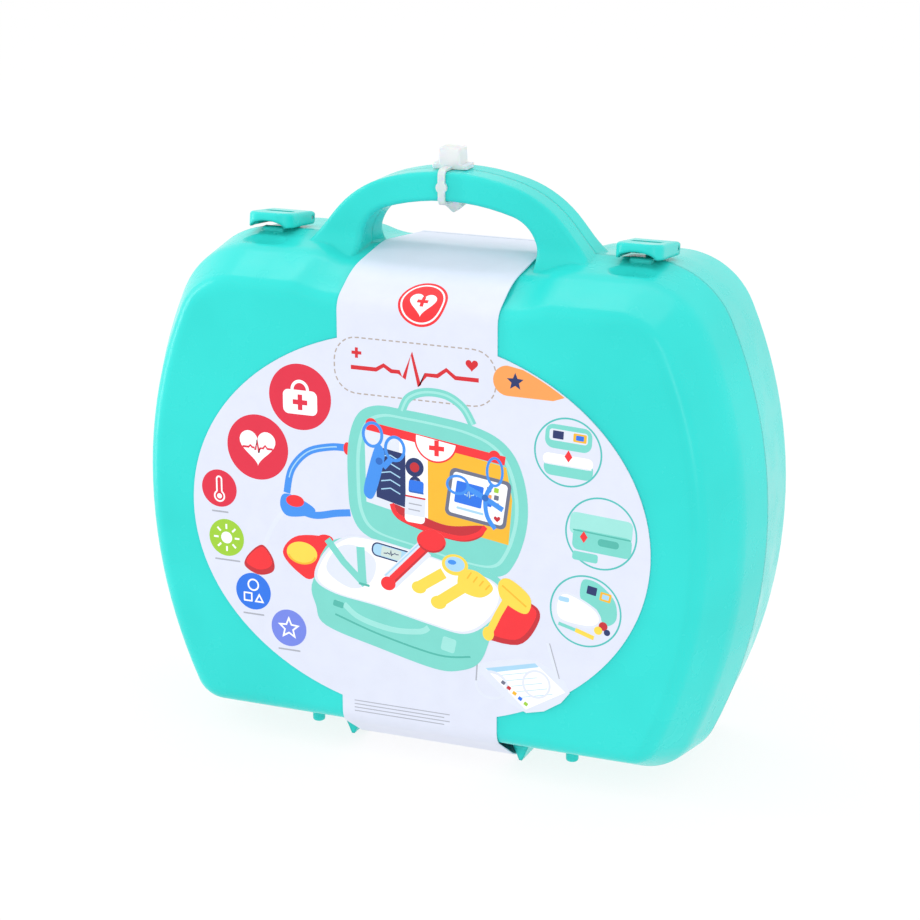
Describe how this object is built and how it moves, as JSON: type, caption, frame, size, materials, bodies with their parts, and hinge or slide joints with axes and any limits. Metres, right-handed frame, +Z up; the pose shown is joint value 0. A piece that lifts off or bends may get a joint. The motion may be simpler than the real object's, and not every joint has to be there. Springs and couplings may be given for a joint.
{
  "type": "toy medical center",
  "caption": "Closed hinged plastic carry case with a printed card sleeve and latches, holding play medical tools on a display wall, in a worktop and in trays.",
  "frame": {"origin": "on the ground below the middle of the closed case", "axes": "+X to the right along the width seen from the front, +Y from the front face to the back, +Z up"},
  "size_m": [0.262, 0.0914, 0.2456],
  "materials": {
    "teal_plastic": "smooth moulded",
    "sleeve_card": "printed coated card",
    "board_card": "printed card",
    "tie_plastic": "cloudy flexible",
    "pin_steel": "plain",
    "red_plastic": "smooth moulded",
    "white_plastic": "smooth moulded",
    "blue_plastic": "smooth moulded",
    "yellow_plastic": "smooth moulded",
    "clear_plastic": "clear moulded",
    "mirror_foil": "silvered foil",
    "tube_vinyl": "soft vinyl"
  },
  "bodies": {
    "rear_half": {"rear_shell": "teal_plastic", "hinge_pins": "pin_steel", "backboard": "board_card", "hook_rail": "red_plastic", "badge": "white_plastic", "badge_plus": "red_plastic", "shelf_tray": "red_plastic", "bottle_body": "white_plastic", "bottle_cap": "blue_plastic", "scissors_fixed_arm": "blue_plastic", "forceps_fixed_arm": "blue_plastic", "tool_rivets": "blue_plastic", "sleeve_back": "sleeve_card", "tie_strap_rear": "tie_plastic", "tie_head": "tie_plastic"},
    "latch_left": {"latch_left": "teal_plastic", "latch_pin_left": "pin_steel"},
    "latch_right": {"latch_right": "teal_plastic", "latch_pin_right": "pin_steel"},
    "scissors_arm": {"scissors_moving_arm": "blue_plastic"},
    "forceps_arm": {"forceps_moving_arm": "blue_plastic"},
    "front_half": {"front_shell": "teal_plastic", "sleeve_front": "sleeve_card", "tie_strap_front": "tie_plastic", "worktop": "white_plastic", "syringe_barrel": "clear_plastic", "dental_mirror": "yellow_plastic", "mirror_disc": "mirror_foil", "fork_tool": "yellow_plastic", "tweezers": "teal_plastic", "fever_gauge": "teal_plastic", "side_tray_left": "red_plastic", "side_tray_right": "red_plastic", "chart_card": "board_card", "hammer": "yellow_plastic", "round_box": "yellow_plastic", "spectacles": "teal_plastic", "spectacle_temples": "teal_plastic", "stay_plates": "teal_plastic", "headset": "blue_plastic", "ear_tips": "red_plastic", "steth_tube": "tube_vinyl", "chest_piece": "red_plastic"},
    "plunger": {"syringe_plunger": "red_plastic"}
  },
  "joints": [
    {"name": "case_opening", "type": "hinge", "parent": "rear_half", "child": "front_half", "pos_m": [0, 0, 0.0021], "axis": [1, 0, 0], "range_deg": [0, 100]},
    {"name": "latch_left_turn", "type": "hinge", "parent": "rear_half", "child": "latch_left", "pos_m": [-0.0788, 0.011, 0.2098], "axis": [-1, 0, 0], "range_deg": [0, 90]},
    {"name": "latch_right_turn", "type": "hinge", "parent": "rear_half", "child": "latch_right", "pos_m": [0.0788, 0.011, 0.2098], "axis": [-1, 0, 0], "range_deg": [0, 90]},
    {"name": "scissors_opening", "type": "hinge", "parent": "rear_half", "child": "scissors_arm", "pos_m": [-0.063, 0.03, 0.1104], "axis": [0, 1, 0], "range_deg": [0, 28]},
    {"name": "forceps_opening", "type": "hinge", "parent": "rear_half", "child": "forceps_arm", "pos_m": [0.063, 0.03, 0.1104], "axis": [0, -1, 0], "range_deg": [0, 28]},
    {"name": "plunger_slide", "type": "slide", "parent": "front_half", "child": "plunger", "axis": [-1, 0, 0], "range_m": [0, 0.035]}
  ]
}
